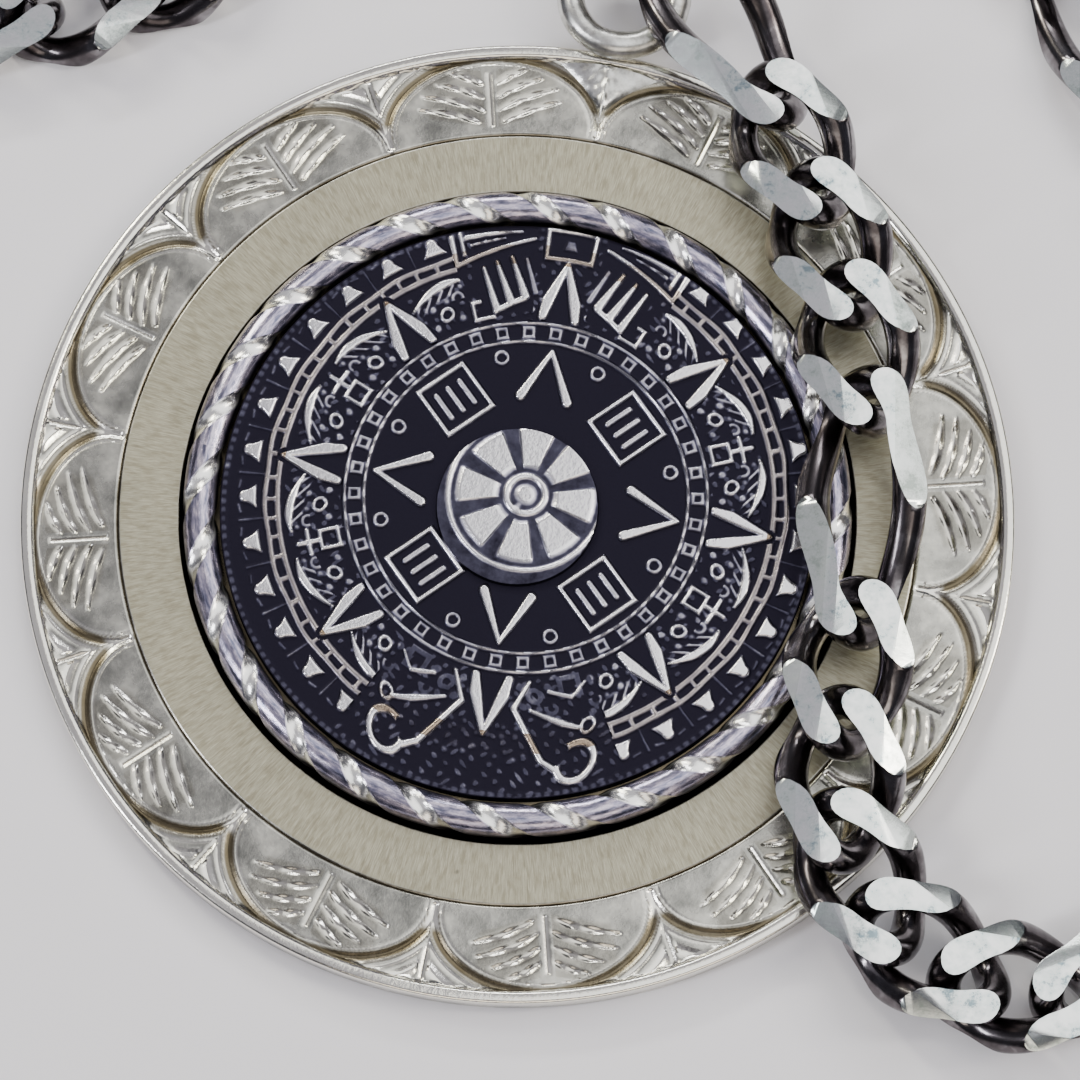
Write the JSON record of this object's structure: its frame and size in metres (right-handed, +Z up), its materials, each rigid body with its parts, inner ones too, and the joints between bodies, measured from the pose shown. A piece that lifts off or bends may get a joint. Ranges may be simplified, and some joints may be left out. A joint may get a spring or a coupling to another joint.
{
  "type": "pocket watch fob chain",
  "caption": "Pocket watch fob chain: round engraved silver medallion with a rope bezel on a heavy Figaro curb chain, ending in a swivel snap.",
  "frame": {"origin": "centre of the medallion's flat back, which lies on the ground", "axes": "+Z up out of the medallion's face, +Y from its centre to its bail"},
  "size_m": [0.1498, 0.0988, 0.0082],
  "materials": {
    "polished_silver": "polished, flats ground bright",
    "engraved_silver": "engraved and satined, slightly tarnished",
    "cut_silver": "bright cut",
    "oxidised_silver": "struck and darkened, relief rubbed bright",
    "cast_silver": "cast, soft polish",
    "spring_steel": "drawn wire"
  },
  "bodies": {
    "medallion": {"medallion_plate": "engraved_silver", "calendar_disc": "oxidised_silver", "rope_bezel": "cut_silver", "bail_ring": "cast_silver", "bail_leaf": "cast_silver"},
    "bail_jump_ring": {"bail_jump_ring": "polished_silver"},
    "long_link_01": {"long_link_01": "polished_silver"},
    "short_link_02": {"short_link_02": "polished_silver"},
    "short_link_03": {"short_link_03": "polished_silver"},
    "short_link_04": {"short_link_04": "polished_silver"},
    "long_link_05": {"long_link_05": "polished_silver"},
    "short_link_06": {"short_link_06": "polished_silver"},
    "short_link_07": {"short_link_07": "polished_silver"},
    "short_link_08": {"short_link_08": "polished_silver"},
    "short_link_09": {"short_link_09": "polished_silver"},
    "short_link_10": {"short_link_10": "polished_silver"},
    "long_link_11": {"long_link_11": "polished_silver"},
    "short_link_12": {"short_link_12": "polished_silver"},
    "short_link_13": {"short_link_13": "polished_silver"},
    "short_link_14": {"short_link_14": "polished_silver"},
    "long_link_15": {"long_link_15": "polished_silver"},
    "short_link_16": {"short_link_16": "polished_silver"},
    "short_link_17": {"short_link_17": "polished_silver"},
    "short_link_18": {"short_link_18": "polished_silver"},
    "long_link_19": {"long_link_19": "polished_silver"},
    "short_link_20": {"short_link_20": "polished_silver"},
    "short_link_21": {"short_link_21": "polished_silver"},
    "short_link_22": {"short_link_22": "polished_silver"},
    "long_link_23": {"long_link_23": "polished_silver"},
    "short_link_24": {"short_link_24": "polished_silver"},
    "short_link_25": {"short_link_25": "polished_silver"},
    "short_link_26": {"short_link_26": "polished_silver"},
    "long_link_27": {"long_link_27": "polished_silver"},
    "short_link_28": {"short_link_28": "polished_silver"},
    "short_link_29": {"short_link_29": "polished_silver"},
    "short_link_30": {"short_link_30": "polished_silver"},
    "long_link_31": {"long_link_31": "polished_silver"},
    "snap_jump_ring": {"snap_jump_ring": "polished_silver"},
    "swivel_eye": {"swivel_eye": "cast_silver"},
    "snap_body": {"snap_body": "cast_silver", "gate_pin": "spring_steel"},
    "snap_gate": {"snap_gate": "cast_silver"}
  },
  "joints": [
    {"name": "ring_on_bail", "type": "hinge", "parent": "medallion", "child": "bail_jump_ring", "pos_m": [0.00096, 0.04097, 0.003], "axis": [-0.9659, 0.2588, 0], "range_deg": [0, 40]},
    {"name": "swing_01", "type": "hinge", "parent": "bail_jump_ring", "child": "long_link_01", "pos_m": [-0.00003, 0.04295, 0.00602], "axis": [0.0238, -0.0246, 0.9994], "range_deg": [-4, 0]},
    {"name": "lift_02", "type": "hinge", "parent": "long_link_01", "child": "short_link_02", "pos_m": [0.01149, 0.03102, 0.00545], "axis": [-0.8387, -0.5446, 0], "range_deg": [0, 19]},
    {"name": "swing_03", "type": "hinge", "parent": "short_link_02", "child": "short_link_03", "pos_m": [0.01558, 0.02473, 0.0053], "axis": [0, 0, -1], "range_deg": [-14, 6]},
    {"name": "lift_04", "type": "hinge", "parent": "short_link_03", "child": "short_link_04", "pos_m": [0.01898, 0.01804, 0.0053], "axis": [-0.9336, -0.3584, 0], "range_deg": [0, 25]},
    {"name": "swing_05", "type": "hinge", "parent": "short_link_04", "child": "long_link_05", "pos_m": [0.02167, 0.01104, 0.0053], "axis": [0, 0, 1], "range_deg": [-9, 20]},
    {"name": "lift_06", "type": "hinge", "parent": "long_link_05", "child": "short_link_06", "pos_m": [0.02345, -0.00345, 0.0053], "axis": [0.9986, 0.0523, 0], "range_deg": [-14, 1]},
    {"name": "swing_07", "type": "hinge", "parent": "short_link_06", "child": "short_link_07", "pos_m": [0.02384, -0.01094, 0.0053], "axis": [-0.0134, 0.0759, -0.997], "range_deg": [-20, 20]},
    {"name": "lift_08", "type": "hinge", "parent": "short_link_07", "child": "short_link_08", "pos_m": [0.02486, -0.01767, 0.00481], "axis": [-0.788, -0.6157, 0], "range_deg": [-9, 14]},
    {"name": "swing_09", "type": "hinge", "parent": "short_link_08", "child": "short_link_09", "pos_m": [0.02881, -0.02305, 0.0038], "axis": [0.1099, -0.0467, 0.9928], "range_deg": [-20, 4]},
    {"name": "lift_10", "type": "hinge", "parent": "short_link_09", "child": "short_link_10", "pos_m": [0.03491, -0.02584, 0.00299], "axis": [-0.1045, 0.9945, 0], "range_deg": [-6, 14]},
    {"name": "swing_11", "type": "hinge", "parent": "short_link_10", "child": "long_link_11", "pos_m": [0.04161, -0.02533, 0.00236], "axis": [0.0236, 0.0165, 0.9996], "range_deg": [-20, 4]},
    {"name": "lift_12", "type": "hinge", "parent": "long_link_11", "child": "short_link_12", "pos_m": [0.05315, -0.01743, 0.00196], "axis": [-0.8829, 0.4695, 0], "range_deg": [-14, 21]},
    {"name": "swing_13", "type": "hinge", "parent": "short_link_12", "child": "short_link_13", "pos_m": [0.05667, -0.01081, 0.00185], "axis": [0, 0, -1], "range_deg": [-9, 20]},
    {"name": "lift_14", "type": "hinge", "parent": "short_link_13", "child": "short_link_14", "pos_m": [0.05798, -0.00342, 0.00185], "axis": [0.9962, 0.0872, 0], "range_deg": [-19, 19]},
    {"name": "swing_15", "type": "hinge", "parent": "short_link_14", "child": "long_link_15", "pos_m": [0.05732, 0.00405, 0.00185], "axis": [0, 0, 1], "range_deg": [-20, 11]},
    {"name": "lift_16", "type": "hinge", "parent": "long_link_15", "child": "short_link_16", "pos_m": [0.05233, 0.01777, 0.00185], "axis": [-0.829, -0.5592, 0], "range_deg": [-19, 19]},
    {"name": "swing_17", "type": "hinge", "parent": "short_link_16", "child": "short_link_17", "pos_m": [0.04814, 0.02399, 0.00185], "axis": [0, 0, 1], "range_deg": [-20, 6]},
    {"name": "lift_18", "type": "hinge", "parent": "short_link_17", "child": "short_link_18", "pos_m": [0.04312, 0.02956, 0.00185], "axis": [0.7431, 0.6691, 0], "range_deg": [-25, 25]},
    {"name": "swing_19", "type": "hinge", "parent": "short_link_18", "child": "long_link_19", "pos_m": [0.0381, 0.03513, 0.00185], "axis": [0, 0, -1], "range_deg": [-6, 20]},
    {"name": "lift_20", "type": "hinge", "parent": "long_link_19", "child": "short_link_20", "pos_m": [0.02911, 0.04664, 0.00185], "axis": [-0.788, -0.6157, 0], "range_deg": [-25, 25]},
    {"name": "swing_21", "type": "hinge", "parent": "short_link_20", "child": "short_link_21", "pos_m": [0.02449, 0.05255, 0.00185], "axis": [0, 0, 1], "range_deg": [-20, 6]},
    {"name": "lift_22", "type": "hinge", "parent": "short_link_21", "child": "short_link_22", "pos_m": [0.01875, 0.05737, 0.00185], "axis": [0.4067, 0.9135, 0], "range_deg": [-19, 19]},
    {"name": "swing_23", "type": "hinge", "parent": "short_link_22", "child": "long_link_23", "pos_m": [0.01197, 0.0604, 0.00185], "axis": [0, 0, 1], "range_deg": [-20, 6]},
    {"name": "lift_24", "type": "hinge", "parent": "long_link_23", "child": "short_link_24", "pos_m": [-0.00251, 0.06143, 0.00185], "axis": [0.2756, -0.9613, 0], "range_deg": [-14, 16]},
    {"name": "swing_25", "type": "hinge", "parent": "short_link_24", "child": "short_link_25", "pos_m": [-0.00972, 0.05936, 0.00185], "axis": [0, 0, -1], "range_deg": [-11, 20]},
    {"name": "lift_26", "type": "hinge", "parent": "short_link_25", "child": "short_link_26", "pos_m": [-0.01594, 0.05517, 0.00185], "axis": [-0.7547, 0.6561, 0], "range_deg": [-19, 19]},
    {"name": "swing_27", "type": "hinge", "parent": "short_link_26", "child": "long_link_27", "pos_m": [-0.02086, 0.04951, 0.00185], "axis": [0, 0, 1], "range_deg": [-20, 20]},
    {"name": "lift_28", "type": "hinge", "parent": "long_link_27", "child": "short_link_28", "pos_m": [-0.02816, 0.03686, 0.00185], "axis": [0.6947, -0.7193, 0], "range_deg": [-16, 16]},
    {"name": "swing_29", "type": "hinge", "parent": "short_link_28", "child": "short_link_29", "pos_m": [-0.03356, 0.03165, 0.00185], "axis": [0, 0, -1], "range_deg": [-20, 14]},
    {"name": "lift_30", "type": "hinge", "parent": "short_link_29", "child": "short_link_30", "pos_m": [-0.0403, 0.02837, 0.00185], "axis": [0.2419, -0.9703, 0], "range_deg": [-21, 21]},
    {"name": "swing_31", "type": "hinge", "parent": "short_link_30", "child": "long_link_31", "pos_m": [-0.04757, 0.02655, 0.00185], "axis": [0, 0, 1], "range_deg": [-20, 20]},
    {"name": "ring_on_chain", "type": "hinge", "parent": "long_link_31", "child": "snap_jump_ring", "pos_m": [-0.06331, 0.02378, 0.00185], "axis": [0.1116, -0.633, -0.766], "range_deg": [-30, 30]},
    {"name": "eye_in_ring", "type": "hinge", "parent": "snap_jump_ring", "child": "swivel_eye", "pos_m": [-0.06552, 0.02339, 0.00265], "axis": [0, 0, 1], "range_deg": [-34, 40]},
    {"name": "swivel_turn", "type": "hinge", "parent": "swivel_eye", "child": "snap_body", "pos_m": [-0.07232, 0.02219, 0.00265], "axis": [-0.9848, -0.1736, 0], "continuous": true},
    {"name": "gate_open", "type": "hinge", "parent": "snap_body", "child": "snap_gate", "pos_m": [-0.07664, 0.01848, 0.00265], "axis": [0, 0, -1], "range_deg": [0, 30], "stiffness_Nm_per_rad": 0.002}
  ]
}
